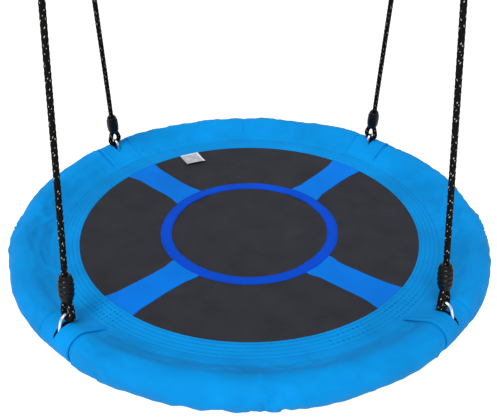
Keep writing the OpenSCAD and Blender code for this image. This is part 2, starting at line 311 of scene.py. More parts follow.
def threads(tree, vector, direction, pitch, distortion=0.0):
    """Bands across one direction, one for each pitch."""
    wave_period = 0.314
    inputs = {"Vector": vector, "Scale": wave_period / pitch, "Distortion": distortion}
    wave = node(tree, "ShaderNodeTexWave", inputs, bands_direction=direction)
    return wave.outputs["Fac"]


def arithmetic(tree, operation, a, b):
    return node(tree, "ShaderNodeMath", {0: a, 1: b}, operation=operation).outputs[0]


def ramp(tree, factor, stops):
    made = node(tree, "ShaderNodeValToRGB", {"Fac": factor})
    elements = made.color_ramp.elements
    while len(elements) < len(stops):
        elements.new(0.5)
    for element, (position, colour) in zip(elements, stops):
        element.position = position
        element.color = (*colour, 1)
    return made.outputs["Color"]


def mixed(tree, factor, a, b, blend="MIX"):
    made = node(tree, "ShaderNodeMix", data_type="RGBA", blend_type=blend)
    for socket, value in ((made.inputs[0], factor), (made.inputs[6], a), (made.inputs[7], b)):
        if isinstance(value, bpy.types.NodeSocket):
            tree.links.new(value, socket)
        else:
            socket.default_value = value
    return made.outputs[2]


def set_bump(tree, shader, height, strength, distance):
    inputs = {"Height": height, "Strength": strength, "Distance": distance}
    bump = node(tree, "ShaderNodeBump", inputs)
    tree.links.new(bump.outputs["Normal"], shader.inputs["Normal"])


def shade(colour, factor):
    return tuple(min(1, c * factor) for c in colour)


def woven_material(name, colour, pitch, roughness=0.75, sheen=0.01, vary=0.12, strength=0.35):
    """Plain-woven cloth: two sets of threads with painted shade in the gaps between them, soft changes
    of tone and a matt sheen.
    """
    material, tree, shader = new_material(
        name, colour, roughness, Sheen_Weight=sheen, Sheen_Roughness=0.45,
        Specular_IOR_Level=0.07,
    )
    uv = surface_coordinates(tree)
    warp, weft = threads(tree, uv, "X", pitch, 0.3), threads(tree, uv, "Y", pitch, 0.3)
    weave = arithmetic(tree, "MULTIPLY", warp, weft)
    patches = noise_at(tree, body_coordinates(tree), 9, 4)
    tone = ramp(tree, patches, [(0.3, shade(colour, 1 - vary)), (0.7, shade(colour, 1 + vary))])
    # Painted shade: the colour darkens towards 0.55 of itself in the low gaps between the threads,
    # where the bump sinks.
    weave_shade = arithmetic(tree, "MULTIPLY", arithmetic(tree, "SUBTRACT", 1, weave), 0.3)
    colour_out = mixed(tree, weave_shade, tone, (*shade(colour, 0.55), 1))
    tree.links.new(colour_out, shader.inputs["Base Color"])
    rough = node(tree, "ShaderNodeMapRange", {
        "Value": patches, "To Min": roughness - 0.06, "To Max": roughness + 0.06,
    }).outputs[0]
    tree.links.new(rough, shader.inputs["Roughness"])
    slub = noise_at(tree, uv, 1 / (5 * pitch), 2)
    height = arithmetic(tree, "ADD", weave, arithmetic(tree, "MULTIPLY", slub, 0.6))
    set_bump(tree, shader, height, strength, 0.25 * pitch)
    return material


def mesh_material():
    """Coated open mesh: round vinyl threads with painted shade in the gaps between them and a slow
    moire of shade.
    """
    colour = (0.035, 0.035, 0.041)
    pitch = 1.9 * MM
    material, tree, shader = new_material(
        "mesh_fabric", colour, 0.7, Specular_IOR_Level=0.2,
    )
    uv = surface_coordinates(tree)
    weave = arithmetic(tree, "MULTIPLY", threads(tree, uv, "X", pitch), threads(tree, uv, "Y", pitch))
    # The gaps' near-black is painted shade, where the bump sinks between the threads.
    gaps = ramp(tree, weave, [(0.05, (0.010, 0.010, 0.013)), (0.55, (0.042, 0.043, 0.056))])
    patches = noise_at(tree, uv, 16, 5, 0.6)
    tone = ramp(tree, patches, [(0.3, (0.72, 0.72, 0.72)), (0.75, (1.2, 1.2, 1.2))])
    colour_out = mixed(tree, 1.0, gaps, tone, "MULTIPLY")
    tree.links.new(colour_out, shader.inputs["Base Color"])
    set_bump(tree, shader, weave, 0.7, 0.5 * MM)
    return material


def rope_material():
    """Black braid with pale flecks, which the mesh's own fleck attribute places."""
    material, tree, shader = new_material(
        "rope", (0.008, 0.008, 0.008), 0.65, Specular_IOR_Level=0.06
    )
    fleck = node(tree, "ShaderNodeAttribute", attribute_name="fleck").outputs["Fac"]
    fibres = noise_at(tree, surface_coordinates(tree), 900, 3)
    broken = arithmetic(tree, "MULTIPLY", fleck, arithmetic(tree, "ADD", fibres, 0.45))
    colour_out = ramp(tree, broken, [
        (0.0, (0.004, 0.004, 0.004)), (0.42, (0.010, 0.009, 0.008)), (0.58, (0.6, 0.55, 0.46)),
    ])
    tree.links.new(colour_out, shader.inputs["Base Color"])
    set_bump(tree, shader, fibres, 0.5, 0.4 * MM)
    return material


def plastic_material():
    material, tree, shader = new_material(
        "ferrule_plastic", (0.005, 0.005, 0.006), 0.3, Specular_IOR_Level=0.16
    )
    patches = noise_at(tree, body_coordinates(tree), 140, 4)
    rough = node(tree, "ShaderNodeMapRange", {
        "Value": patches, "To Min": 0.16, "To Max": 0.36,
    }).outputs[0]
    tree.links.new(rough, shader.inputs["Roughness"])
    set_bump(tree, shader, patches, 0.12, 0.3 * MM)
    return material


def steel_material(name, colour, low, high, grain, strength):
    """Plated or galvanised steel whose roughness and surface vary with a fine grain."""
    material, tree, shader = new_material(name, colour, (low + high) / 2, Metallic=1.0)
    patches = noise_at(tree, body_coordinates(tree), grain, 5, 0.6)
    tone = ramp(tree, patches, [(0.3, shade(colour, 0.86)), (0.7, shade(colour, 1.08))])
    tree.links.new(tone, shader.inputs["Base Color"])
    rough = node(tree, "ShaderNodeMapRange", {
        "Value": patches, "To Min": low, "To Max": high,
    }).outputs[0]
    tree.links.new(rough, shader.inputs["Roughness"])
    set_bump(tree, shader, patches, strength, 0.2 * MM)
    return material


def foam_material():
    colour = (0.02, 0.02, 0.022)
    material, tree, shader = new_material("foam", colour, 0.95, Specular_IOR_Level=0.2)
    cells = node(tree, "ShaderNodeTexVoronoi", {
        "Vector": body_coordinates(tree), "Scale": 700.0,
    }).outputs["Distance"]
    # Painted shade: each cell is darker in its middle, where the bump sinks into a pore.
    tone = ramp(tree, cells, [(0.0, shade(colour, 0.5)), (0.6, shade(colour, 1.3))])
    tree.links.new(tone, shader.inputs["Base Color"])
    set_bump(tree, shader, cells, 0.5, 0.6 * MM)
    return material


def label_material():
    """A blank woven label: pale satin with a darker plain field."""
    material, tree, shader = new_material("label", (0.6, 0.6, 0.62), 0.5, Sheen_Weight=0.2)
    uv = surface_coordinates(tree)
    ribs = threads(tree, uv, "Y", 0.9 * MM)
    split = node(tree, "ShaderNodeSeparateXYZ", {"Vector": uv})
    edge = arithmetic(tree, "MINIMUM", split.outputs["X"], split.outputs["Y"])
    field = ramp(tree, noise_at(tree, uv, 60, 2), [
        (0.35, (0.30, 0.31, 0.34)), (0.65, (0.46, 0.47, 0.50)),
    ])
    border = arithmetic(tree, "LESS_THAN", edge, 5 * MM)
    colour_out = mixed(tree, border, field, (0.72, 0.72, 0.74, 1))
    tree.links.new(colour_out, shader.inputs["Base Color"])
    set_bump(tree, shader, ribs, 0.3, 0.2 * MM)
    return material


COVER_BLUE = (0.0, 0.25, 0.66)
STRAP_BLUE = (0.0, 0.165, 0.68)
TRIM_BLUE = (0.0, 0.065, 0.58)
THREAD_BLUE = (0.0, 0.045, 0.19)
cover_look = woven_material("cover_fabric", COVER_BLUE, 1.2 * MM, vary=0.17)
strap_look = woven_material("strap_fabric", STRAP_BLUE, 1.2 * MM)
trim_look = woven_material("trim_fabric", TRIM_BLUE, 1.5 * MM, strength=0.5)
thread_look = woven_material("sewing_thread", THREAD_BLUE, 0.4 * MM, vary=0.05)
mesh_look = mesh_material()
rope_look = rope_material()
plastic_look = plastic_material()
foam_look = foam_material()
label_look = label_material()
bright_steel = steel_material("bright_steel", (0.82, 0.83, 0.85), 0.14, 0.26, 160, 0.05)
zinc_steel = steel_material("zinc_steel", (0.72, 0.73, 0.75), 0.24, 0.42, 90, 0.12)
tube_steel = steel_material("tube_steel", (0.5, 0.51, 0.53), 0.38, 0.58, 40, 0.15)


# ---- Ropes ----

def eye_route():
    """Half a rope's route as (across, along), from the tail in the ferrule round the eye."""
    angles = np.radians(np.arange(20, -201, -27.5))
    eye = np.stack([EYE_R * np.cos(angles), EYE_R * (1 + np.sin(angles)) - EYE_DROP], 1)
    tail = [[STRAND_GAP, EYE_LEN + 11 * MM], [STRAND_GAP, EYE_LEN]]
    up = [[-STRAND_GAP, EYE_LEN], [-2.5 * MM, EYE_LEN + 21 * MM], [0, EYE_LEN + FERRULE_LEN]]
    return np.concatenate([tail, eye, up])


ROPE_STEP = 1.6 * MM
ROPE_SIDES = 30
STRANDS = 3
BRAID_PITCH = 10 * MM


def braid_radius(angle, length):
    """Strands that cross each other every few millimetres, as bumps on the rope."""
    height = 1.0 * MM
    turn = math.pi * length / BRAID_PITCH
    crossing = np.abs(np.sin(STRANDS * angle + turn) * np.sin(STRANDS * angle - turn))
    return ROPE_R - 0.75 * height + height * np.sqrt(crossing)


def braid_flecks(piece, count):
    """Marks some of the strands' bumps with a pale dash along the strand."""
    angles = np.arange(ROPE_SIDES) * 2 * math.pi / ROPE_SIDES
    angle, row = np.meshgrid(angles, np.arange(count), indexing="ij")
    turn = math.pi * row * ROPE_STEP / BRAID_PITCH
    one, other = (STRANDS * angle + turn) / math.pi, (STRANDS * angle - turn) / math.pi
    cell = np.floor(one) * 7 + np.floor(other) * 3
    marked = (np.mod(cell * 5 + np.floor(turn) * 3, 11) < 1.5).astype(float)
    across = np.mod(np.where(np.mod(cell, 2) < 1, one, other), 1)
    fleck = marked * bump_at(across, 0.5, 0.14)
    attribute = piece.data.attributes.new("fleck", "FLOAT", "POINT")
    attribute.data.foreach_set("value", fleck.astype(np.float32).ravel())


def make_rope(corner):
    half = eye_route()
    other = np.stack([-half[::-1, 0], SPAN - half[::-1, 1]], 1)
    flat = rounded_line(np.concatenate([half, other]), passes=3)
    flat = resampled(flat, ROPE_STEP)
    place = rope_place(corner)
    line = placed(np.stack([0 * flat[:, 0], flat[:, 0], flat[:, 1]], 1), place)
    side = place[0] @ [1, 0, 0]
    rope = tube_piece("braided_rope_" + corner, line, side, braid_radius, ROPE_SIDES)
    braid_flecks(rope, len(line))
    return rope, line


def ferrule_radius(angle, height):
    """A barrel with four rounded ribs and a moulding seam down two sides."""
    half = FERRULE_LEN / 2
    t = np.clip(height / FERRULE_LEN, 0, 1)
    barrel = FERRULE_R - 4.2 * MM + 3.1 * MM * np.sin(math.pi * t) ** 0.6
    ribs = sum(
        np.exp(-(np.abs(height - half - (k - 1.5) * 9 * MM) / (2.3 * MM)) ** 4) for k in range(4)
    )
    seam = np.exp(-(np.abs(np.sin(angle)) / 0.16) ** 4) * smooth(4 * t) * smooth(4 * (1 - t))
    return barrel + 1.1 * MM * np.maximum(ribs, seam)


def make_ferrule(name, corner, upper):
    sides = 72
    heights = np.linspace(0, FERRULE_LEN, 96)
    lip = 1.2 * MM
    angle, height = np.meshgrid(
        np.linspace(0, 2 * math.pi, sides, endpoint=False), heights, indexing="ij"
    )
    edge = np.minimum(height, FERRULE_LEN - height)
    rounding = lip * (1 - np.sqrt(np.clip(1 - (1 - np.minimum(edge / lip, 1)) ** 2, 0, 1)))
    radius = ferrule_radius(angle, height) - rounding
    along = EYE_LEN + height
    if upper:
        along = SPAN - along
    points = np.stack([radius * np.cos(angle), radius * np.sin(angle), along], -1)
    points = placed(points, rope_place(corner))
    us = np.linspace(0, 2 * math.pi * FERRULE_R, sides + 1)
    return grid_piece(name, points, us, heights, close_u=True, caps=(0, len(heights) - 1))


def make_link(corner):
    """The pear-shaped wire round the tube, through the strap's slit and the rope's eye."""
    rise = LINK_TOP - LINK_TOP_R
    flare = math.asin((LINK_LOW_R - LINK_TOP_R) / rise)
    low = np.linspace(math.pi - flare, 2 * math.pi + flare, 40)
    high = np.linspace(flare, math.pi - flare, 30)
    flat = np.concatenate([
        np.stack([LINK_LOW_R * np.cos(low), LINK_LOW_R * np.sin(low)], 1),
        np.stack([LINK_TOP_R * np.cos(high), LINK_TOP_R * np.sin(high) + rise], 1),
    ])
    step = 2 * MM
    even = resampled(np.concatenate([flat, flat[:1]]), step)[:-1]
    place = link_place(corner)
    line = placed(np.stack([even[:, 0], 0 * even[:, 0], even[:, 1]], 1), place)
    side = place[0] @ [0, 1, 0]
    weld_at = len(even) // 4 * step

    def radius(angle, length):
        weld_bead = 0.35 * MM * bump_at(length, weld_at, 1.6 * MM)
        return WIRE_R - 0.1 * MM + weld_bead

    return tube_piece("wire_link_" + corner, line, side, radius, 20, closed=True)


def make_hangers():
    for corner in CORNERS:
        rope, line = make_rope(corner)
        rope_body = "rope_body_" + corner
        finish_piece(rope, rope_look, rope_body, ["rope_" + corner])
        for part, upper in (("lower_ferrule_", False), ("upper_ferrule_", True)):
            name = part + corner
            ferrule = make_ferrule("moulded_" + name, corner, upper)
            finish_piece(ferrule, plastic_look, rope_body, [name])
        link = make_link(corner)
        finish_piece(link, bright_steel, "link_body_" + corner, ["link_" + corner])


# ---- The sewn cover ----

# Rows of stitches: radii round the band, and places on each side of a strap's middle
STITCH_ROWS = BAND_IN_R + np.array([4, 13, 22, 31, 40]) * MM
CROSS_ROWS = np.array([0, 9, 18, 27, 36]) * MM
# The radius where the flat band starts to rise over the pad
RISE_R = 404 * MM
HEM_ANGLE = math.radians(-33)
# The width over which cloth comes free beside a strap
PLAY = 10 * MM
# The small gap beside the front right strap
GAP_ANGLE = math.radians(315) - (STRAP_W / 2 + 2.5 * MM) / PITCH_R
# The slit that a link comes out of: radii and half a width in the strap, and the wider hole
# below it in the cover
SLIT_FROM, SLIT_TO = 445 * MM, 497 * MM
SLIT_HALF_W = 3.9 * MM
HOLE_FROM, HOLE_TO = 443 * MM, 498 * MM
HOLE_HALF_W = 8 * MM


def evened(line, spacing):
    """Points along a line whose distance apart follows spacing, a function of the points."""
    line = np.asarray(line, float)
    steps = np.linalg.norm(np.diff(line, axis=0), axis=1)
    gaps = spacing((line[1:] + line[:-1]) / 2)
    share = np.concatenate([[0], np.cumsum(steps / gaps)])
    at = np.linspace(0, share[-1], int(round(share[-1])) + 1)
    return np.stack([np.interp(at, share, line[:, k]) for k in range(line.shape[1])], 1)


def cover_section():
    """The cover's outline as (radius, height) from the band's inner edge over the pad and back."""
    leave = math.radians(118)
    top = np.array([
        [363, 1.6], [376, 1.8], [390, 1.9], [402, 2.2], [410, 3.2],
        [418, 5.6], [427, 9.6], [436, 14.2], [446, 19.5],
    ]) * MM
    angles = np.linspace(leave, -leave, 40)
    pad = np.stack([PITCH_R + PAD_R * np.cos(angles), PAD_R * np.sin(angles)], 1)
    sink = (BAND_TOP + BAND_LOW) * (1 - smooth((top[:, 1] - BAND_TOP) / (20 * MM)))
    bottom = np.stack([top[:, 0], sink - top[:, 1]], 1)[::-1]
    inner = [[BAND_IN_R - 0.7 * MM, (BAND_TOP + BAND_LOW) / 2]]
    line = rounded_line(np.concatenate([top, pad, bottom]), passes=2)

    def spacing(points):
        fine = (points[:, 0] < 415 * MM) & (points[:, 1] > 0)
        hem = np.abs(points[:, 1] - PAD_R * math.sin(HEM_ANGLE)) < 6 * MM
        hem &= points[:, 0] > SEAT_R - 9 * MM
        return np.where(fine, 2.2 * MM, np.where(hem, 1.6 * MM, 4 * MM))

    return np.concatenate([evened(line, spacing), inner])


def outward(section):
    """Unit normals of the section, away from the foam."""
    along = np.roll(section, -1, axis=0) - np.roll(section, 1, axis=0)
    normal = np.stack([-along[:, 1], along[:, 0]], 1)
    return normal / np.linalg.norm(normal, axis=1)[:, None]


def ring_angles():
    """Angles round the ring, close together under each strap and just beside it."""
    turns = np.linspace(0, 2 * math.pi, 3601)
    circle = np.stack([turns, 0 * turns], 1)

    def spacing(points):
        u = np.abs(from_corner(points[:, 0])) * PITCH_R
        return np.where(u < STRAP_W / 2 + 11 * MM, 1.8 * MM, 4.4 * MM) / PITCH_R

    return evened(circle, spacing)[:-1, 0]


def from_corner(angle):
    """The signed angle to the nearest of the four corners."""
    quarter = math.pi / 2
    return np.mod(angle - CORNER_A + quarter / 2, quarter) - quarter / 2


def strap_half(r):
    """Half the width of a strap, which widens from the trim to the pad."""
    t = np.clip((r - TRIM_R) / (PITCH_R - PAD_R - TRIM_R), 0, 1)
    return (STRAP_IN_W + (STRAP_W - STRAP_IN_W) * t) / 2


def soft_folds(s, v, side):
    """Folds in the sleeve, deepest beside the straps and running away from them. s runs along
    the ring from the sleeve's middle, v round the pad, and side is -1 or 1 for the half."""
    corner_s = 370 * MM
    beside = np.exp(-np.clip(corner_s - np.abs(s) - STRAP_W / 2, 0, None) / (85 * MM))
    lengthwise = ripple((s + 0.9 * side * v) / (42 * MM), (v - 0.25 * side * s) / (30 * MM), 3.1)
    broad = ripple(s / (120 * MM), v / (60 * MM), 9.4)
    small = ripple((s - 0.5 * side * v) / (20 * MM), v / (26 * MM), 5.7)
    sharp = 0.5 - np.abs(lengthwise) * 1.6
    return (1.2 * MM + 3.4 * MM * beside) * sharp + 2.6 * MM * broad + (0.8 + 1.4 * beside) * MM * small


def cover_shape():
    """Everything that the cover's mesh and simulation need, as arrays over its grid."""
    section = cover_section()
    normal = outward(section)
    angle = ring_angles()[:, None]
    r, z = section[None, :, 0], section[None, :, 1]
    steps = np.linalg.norm(np.diff(section, axis=0), axis=1)
    v = np.concatenate([[0], np.cumsum(steps)])[None]
    delta = from_corner(angle)
    u = np.abs(r * np.sin(delta))
    quarter_s = PITCH_R * (np.mod(angle, math.pi / 2) - math.pi / 4) + 0 * r
    quarter = np.floor(angle / (math.pi / 2)) + 0 * r
    on_pad = smooth((r - RISE_R) / (34 * MM)) + 0 * u
    under_strap = 1 - smooth((u - STRAP_W / 2 + 2 * MM) / PLAY)
    return {
        "section": section, "normal": normal, "angle": angle, "r": r, "z": z, "v": v, "u": u,
        "s": quarter_s, "quarter": quarter, "on_pad": on_pad, "under_strap": under_strap,
    }


def cover_points(shape, lift):
    """The grid's points, moved off the section by lift along its normals."""
    lift = lift + 0 * shape["u"]
    r = shape["r"] + lift * shape["normal"][None, :, 0]
    z = shape["z"] + lift * shape["normal"][None, :, 1]
    return np.stack([r * np.cos(shape["angle"]), r * np.sin(shape["angle"]), SEAT_Z + z], -1)


def loose_lift(shape):
    """How far the loose cloth of the sleeves stands off the section."""
    free = shape["on_pad"] * (1 - shape["under_strap"])
    side = np.sign(-shape["s"])
    folds = soft_folds(shape["s"] + 0 * shape["v"], shape["v"] + 3 * shape["quarter"], side)
    top = (shape["z"] > 0) & (shape["r"] < 440 * MM)
    puckers = ripple(shape["s"] / (9 * MM), shape["v"] / (30 * MM), 2.2) * top
    return free * (1.6 * MM + folds) + 0.35 * MM * puckers


def sewn_lift(shape):
    """Stitch rows, the hem, the straps' creases and the strap that lies under the band."""
    r, z, u = shape["r"], shape["z"], shape["u"]
    top = z > 0
    rows = sum(bump_at(r, row, 1.5 * MM) for row in STITCH_ROWS) * top
    crease = bump_at(u, STRAP_W / 2 + 2 * MM, 3.5 * MM) * shape["on_pad"]
    hem_z = PAD_R * math.sin(HEM_ANGLE)
    outer = r > PITCH_R
    hem = bump_at(z, hem_z, 1.5 * MM) * outer
    gutter = bump_at(z, hem_z - 3.6 * MM, 1.9 * MM) * outer
    box = 1 - smooth((u - CROSS_ROWS[-1] - 3 * MM) / (2 * MM))
    box = box * bump_at(r, BAND_IN_R + 22 * MM, 26 * MM) * top
    cross = sum(bump_at(u, row, 1.7 * MM) for row in CROSS_ROWS) * box
    strap_rise = (1 - smooth((u - strap_half(r)) / (3 * MM))) * (1 - shape["on_pad"]) * top
    pressed = shape["under_strap"] * shape["on_pad"]
    beside = np.abs(shape["angle"] - GAP_ANGLE) * r
    gap = bump_at(beside, 0, 3 * MM) * bump_at(r, RISE_R + 20 * MM, 13 * MM) * top
    return (
        -1.1 * MM * rows - 1.2 * MM * cross - 2.6 * MM * crease - 6 * MM * gap
        + 1.1 * MM * hem - 1.1 * MM * gutter + 1.3 * MM * strap_rise - 0.8 * MM * pressed
    )


def simulated(points, pinned, us, vs, cap):
    """Lets the cloth of a closed grid swell and wrinkle, and returns its points."""
    scene, last_frame = bpy.context.scene, 16
    piece = grid_piece("simulated", points, us, vs, close_u=True, close_v=True)
    group = piece.vertex_groups.new(name="pinned")
    group.add(np.flatnonzero(pinned.ravel()).tolist(), 1.0, "REPLACE")
    cloth = piece.modifiers.new("cloth", "CLOTH")
    settings = cloth.settings
    settings.quality = 4
    settings.mass = 0.25
    settings.tension_stiffness = 25
    settings.compression_stiffness = 6
    settings.shear_stiffness = 4
    settings.bending_stiffness = 0.4
    settings.vertex_group_mass = "pinned"
    settings.use_pressure = True
    settings.uniform_pressure_force = 2.5
    settings.shrink_min = -0.035
    settings.effector_weights.gravity = 0
    cloth.collision_settings.use_collision = False
    cloth.point_cache.frame_start, cloth.point_cache.frame_end = 1, last_frame
    for number in range(1, last_frame + 1):
        scene.frame_set(number)
    settled = piece.evaluated_get(bpy.context.evaluated_depsgraph_get())
    found = np.empty(len(settled.data.vertices) * 3, np.float32)
    settled.data.vertices.foreach_get("co", found)
    bpy.data.objects.remove(piece)
    scene.frame_set(1)
    moved = found.reshape(points.shape).astype(float) - points
    far = np.linalg.norm(moved, axis=-1, keepdims=True)
    return points + moved * np.minimum(1, cap / np.maximum(far, 1e-9))


def off_foam(points):
    """Moves points that sank into the foam back out, square to the tube's axis."""
    r = np.hypot(points[..., 0], points[..., 1])
    out, up = r - PITCH_R, points[..., 2] - SEAT_Z
    far = np.hypot(out, up)
    push = np.where(far < PAD_R, PAD_R / np.maximum(far, MM), 1)
    share = (PITCH_R + out * push) / r
    return np.stack([points[..., 0] * share, points[..., 1] * share, SEAT_Z + up * push], -1)


def make_cover():
    shape = cover_shape()
    loose = loose_lift(shape)
    us = PITCH_R * np.append(shape["angle"][:, 0], 2 * math.pi)
    vs = np.append(shape["v"][0], shape["v"][0, -1] + 3 * MM)
    points = off_foam(cover_points(shape, loose))
    held = (shape["on_pad"] < 0.35) | (shape["under_strap"] > 0.5)
    points = off_foam(simulated(points, held, us, vs, cap=2.5 * MM))
    points = points + cover_points(shape, sewn_lift(shape)) - cover_points(shape, 0)
    along_slit = (shape["r"] > HOLE_FROM) & (shape["r"] < HOLE_TO) & (shape["z"] > 0)
    hole = along_slit & (shape["u"] < HOLE_HALF_W)
    cover = grid_piece("rim_cover", points, us, vs, close_u=True, close_v=True, hole=hole)
    finish_piece(
        cover, cover_look, "seat",
        ["sleeve_right", "sleeve_back", "sleeve_left", "sleeve_front", "band_top", "band_bottom"],
    )
    return cover


# ---- The mesh floor, the trim and the straps ----

def floor_z(x, y):
    """The height of the mesh floor's upper face: a shallow dish with slow waves."""
    r = np.hypot(x, y)
    share = np.minimum(r / BAND_IN_R, 1)
    waves = ripple(x / (110 * MM), y / (110 * MM), 1.7) * (1 - share**4)
    pulled = ripple(x / (35 * MM), y / (35 * MM), 6.3) * bump_at(r, 330 * MM, 35 * MM)
    return SEAT_Z + MESH_TOP - DISH * (1 - share**2) + 0.9 * MM * waves + 0.5 * MM * pulled


def flat_uv(piece):
    """Lays the UV map flat over the piece, in metres."""
    mesh = piece.data
    index = np.empty(len(mesh.loops), np.int32)
    mesh.loops.foreach_get("vertex_index", index)
    co = np.empty(len(mesh.vertices) * 3, np.float32)
    mesh.vertices.foreach_get("co", co)
    xy = co.reshape(-1, 3)[index, :2]
    mesh.uv_layers["UVMap"].data.foreach_set("uv", xy.ravel())


def make_floor():
    radii = np.linspace(1.5 * MM, MESH_R - 2 * MM, 96)
    angle, r = np.meshgrid(np.linspace(0, 2 * math.pi, 288, endpoint=False), radii, indexing="ij")
    x, y = r * np.cos(angle), r * np.sin(angle)
    points = np.stack([x, y, floor_z(x, y)], -1)
    floor = grid_piece("mesh_floor", points, np.zeros(289), radii, close_u=True, caps=(0,))
    flat_uv(floor)
    apply_modifier(floor, "SOLIDIFY", thickness=MESH_T, offset=1)
    finish_piece(floor, mesh_look, "seat", ["mesh_panel"])
    return floor


def make_trim():
    """A woven tape sewn in a ring, with its ends lapped at the front right."""
    profile = np.array([
        [0, -0.4], [0, 0.9], [1.2, 1.6], [4, 1.8], [12, 1.9], [20, 1.8], [22.8, 1.6], [24, 0.9],
        [24, -0.4], [12, -0.5],
    ]) * MM
    turns = np.linspace(0, 2 * math.pi, 420, endpoint=False)
    angle, k = np.meshgrid(turns, np.arange(len(profile)), indexing="ij")
    wander = 1.0 * MM * ripple(3 * np.cos(angle), 3 * np.sin(angle), 4.4)
    r = TRIM_R - TRIM_W + profile[k, 0] + wander
    u = np.abs(r * np.sin(from_corner(angle)))
    over_strap = 1.3 * MM * (1 - smooth((u - STRAP_IN_W / 2) / (5 * MM)))
    lap_from, lap_to = math.radians(308), math.radians(313)
    lapped = 1.0 * MM * ((angle > lap_from) & (angle < lap_to))
    x, y = r * np.cos(angle), r * np.sin(angle)
    z = floor_z(x, y) + profile[k, 1] + (over_strap + lapped) * (profile[k, 1] > 0)
    us = PITCH_R * np.append(turns, 2 * math.pi)
    vs = np.append(np.cumsum(np.full(len(profile), 2.4 * MM)), 2.4 * MM * (len(profile) + 1))
    trim = grid_piece("trim_tape", np.stack([x, y, z], -1), us, vs, close_u=True, close_v=True)
    finish_piece(trim, trim_look, "seat", ["centre_trim"])
    return trim


def corner_turn(corner):
    """Turn of the frame whose X points from the seat's centre to the corner."""
    sx, sy = CORNERS[corner]
    return turn_z(math.atan2(sy, sx))


def make_floor_strap(corner):
    """The part of a strap that lies on the mesh, from under the trim to under the band."""
    t = np.linspace(-1, 1, 25)
    t = np.sign(t) * np.abs(t) ** 0.8
    radii = np.linspace(TRIM_R - 14 * MM, BAND_IN_R + 4 * MM, 70)
    across, r = np.meshgrid(t, radii, indexing="ij")
    middle = (r - TRIM_R) / (BAND_IN_R - TRIM_R)
    sx, sy = CORNERS[corner]
    wander = 1.3 * MM * ripple(r / (40 * MM), np.sign(across) * 3.0 + sx + 0.37 * sy, 8.8)
    half = strap_half(r) - 2.2 * MM * np.sin(math.pi * np.clip(middle, 0, 1)) + wander
    flare = 5 * MM * (1 - smooth((r - TRIM_R) / (30 * MM)))
    flare = flare + 4 * MM * smooth((r - BAND_IN_R + 34 * MM) / (34 * MM))
    y = across * (half + flare)
    turn = corner_turn(corner)
    plan = np.stack([r, y, 0 * r], -1) @ turn.T
    edge = (1 - np.abs(across)) * half
    roll = 1.3 * MM * smooth(edge / (2.2 * MM))
    waves = 0.5 * MM * ripple(plan[..., 0] / (24 * MM), plan[..., 1] / (24 * MM), 7.9)
    plan[..., 2] = floor_z(plan[..., 0], plan[..., 1]) + 0.35 * MM + roll + waves * smooth(edge / PLAY)
    strap = grid_piece("floor_strap_" + corner, plan, t * STRAP_W / 2, radii)
    apply_modifier(strap, "SOLIDIFY", thickness=1.2 * MM, offset=1)
    finish_piece(strap, strap_look, "seat")
    return strap


def wrap_section():
    """The line that a strap follows over the pad, from the band to the underside."""
    section = cover_section()[:-1]
    end_below = 426 * MM
    first = int(np.argmax(section[:, 0] > RISE_R))
    last = len(section) - 1 - int(np.argmax(section[::-1, 0] > end_below))
    line = rounded_line(section[first:last], passes=1)
    return evened(line, lambda points: np.full(len(points), 2.6 * MM))


def make_wrap(corner):
    """The part of a strap that wraps the pad, with the slit that lets the link through."""
    line = wrap_section()
    normal = outward(line)
    normal[0], normal[-1] = normal[1], normal[-2]
    r, z = line[:, 0], line[:, 1]
    in_slit = (z > 0) * np.clip(1 - (2 * (r - SLIT_FROM) / (SLIT_TO - SLIT_FROM) - 1) ** 2, 0, 1)
    opening = SLIT_HALF_W * np.sqrt(in_slit) * (in_slit > 0.05)
    share = np.array([
        0, 0.012, 0.03, 0.06, 0.1, 0.13, 0.165, 0.2, 0.26, 0.33, 0.41, 0.5, 0.6, 0.7, 0.8,
        0.87, 0.92, 0.955, 0.98, 1,
    ])
    left = -STRAP_W / 2 + share[:, None] * (STRAP_W / 2 - opening[None])
    u = np.concatenate([left, -left[::-1]])
    sx, sy = CORNERS[corner]
    edge = STRAP_W / 2 - np.abs(u)
    hem = 0.8 * MM * smooth(edge / (1.6 * MM)) * (1 - smooth((edge - 6 * MM) / (2 * MM)))
    roll = 2.0 * MM * smooth(edge / (2 * MM))
    emerge = smooth((r - RISE_R) / (20 * MM)) + 0 * u
    along = np.concatenate([[0], np.cumsum(np.linalg.norm(np.diff(line, axis=0), axis=1))])
    s = along[None] + 0 * u
    from_slit = np.abs(u) - opening[None]
    lip = 0.7 * MM * bump_at(from_slit, 2.2 * MM, 1.8 * MM) * (opening[None] > 0)
    creases = ripple(u / (16 * MM) + 5 * sx, s / (34 * MM) + 3 * sy, 1.3)
    pulls = ripple((u + 0.4 * s) / (9 * MM) + sy, s / (40 * MM) + sx, 4.9)
    soft = (0.9 * creases + 0.5 * pulls) * MM * smooth(edge / (9 * MM)) * smooth(from_slit / (5 * MM))
    lift = emerge * (0.4 * MM + roll + hem + lip + soft) - 0.8 * MM * (1 - emerge)
    rr = r[None] + lift * normal[None, :, 0]
    zz = z[None] + lift * normal[None, :, 1]
    plan = np.stack([np.sqrt(rr**2 - u**2), u, SEAT_Z + zz], -1)
    turn = corner_turn(corner)
    points = plan @ turn.T
    hole = np.zeros(u.shape, bool)
    hole[len(share) - 1] = True
    us = np.concatenate([-1 + share, 1 - share[::-1]]) * STRAP_W / 2
    wrap = grid_piece("strap_wrap_" + corner, points, us, along, hole=hole)
    apply_modifier(wrap, "WELD", merge_threshold=0.01 * MM)
    apply_modifier(wrap, "SOLIDIFY", thickness=1.4 * MM, offset=1)
    finish_piece(wrap, cover_look, "seat", ["strap_" + corner])
    return wrap


